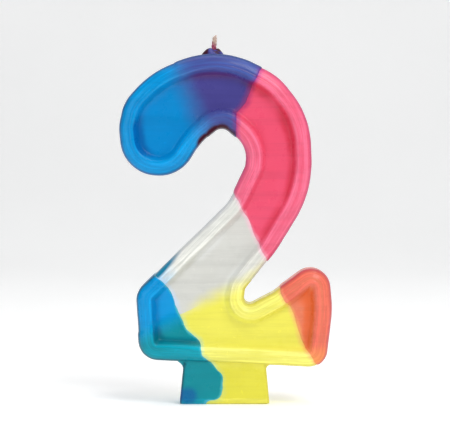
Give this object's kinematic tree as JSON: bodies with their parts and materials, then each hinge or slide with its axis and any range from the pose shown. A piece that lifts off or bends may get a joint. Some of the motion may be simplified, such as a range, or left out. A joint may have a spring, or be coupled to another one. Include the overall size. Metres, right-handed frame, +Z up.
{
  "type": "number birthday candle",
  "caption": "Free-standing wax candle shaped as the numeral two, with a raised rounded rim, recessed face, foot tab, dip-dyed colour bands and a short wick.",
  "frame": {"origin": "bottom centre of the foot tab", "axes": "+Z up along the numeral's height; the numeral's face looks along -Y; +X to the right of the numeral"},
  "size_m": [0.0502, 0.0108, 0.0873],
  "materials": {
    "wax_white": "satin",
    "wax_yellow": "satin",
    "wax_pink": "satin",
    "wax_blue": "satin",
    "wick_cotton": "matte"
  },
  "bodies": {
    "candle": {"wax_core": "wax_white", "yellow_base_coat": "wax_yellow", "pink_bow_coat": "wax_pink", "pink_toe_coat": "wax_pink", "blue_hook_coat": "wax_blue", "blue_corner_coat": "wax_blue", "wick_run": "wick_cotton"},
    "wick_end": {"wick_tip": "wick_cotton"}
  },
  "joints": [
    {"name": "wick_bend", "type": "hinge", "parent": "candle", "child": "wick_end", "pos_m": [-0.0026, 0, 0.0848], "axis": [0, 1, 0], "range_deg": [-70, 70]}
  ]
}
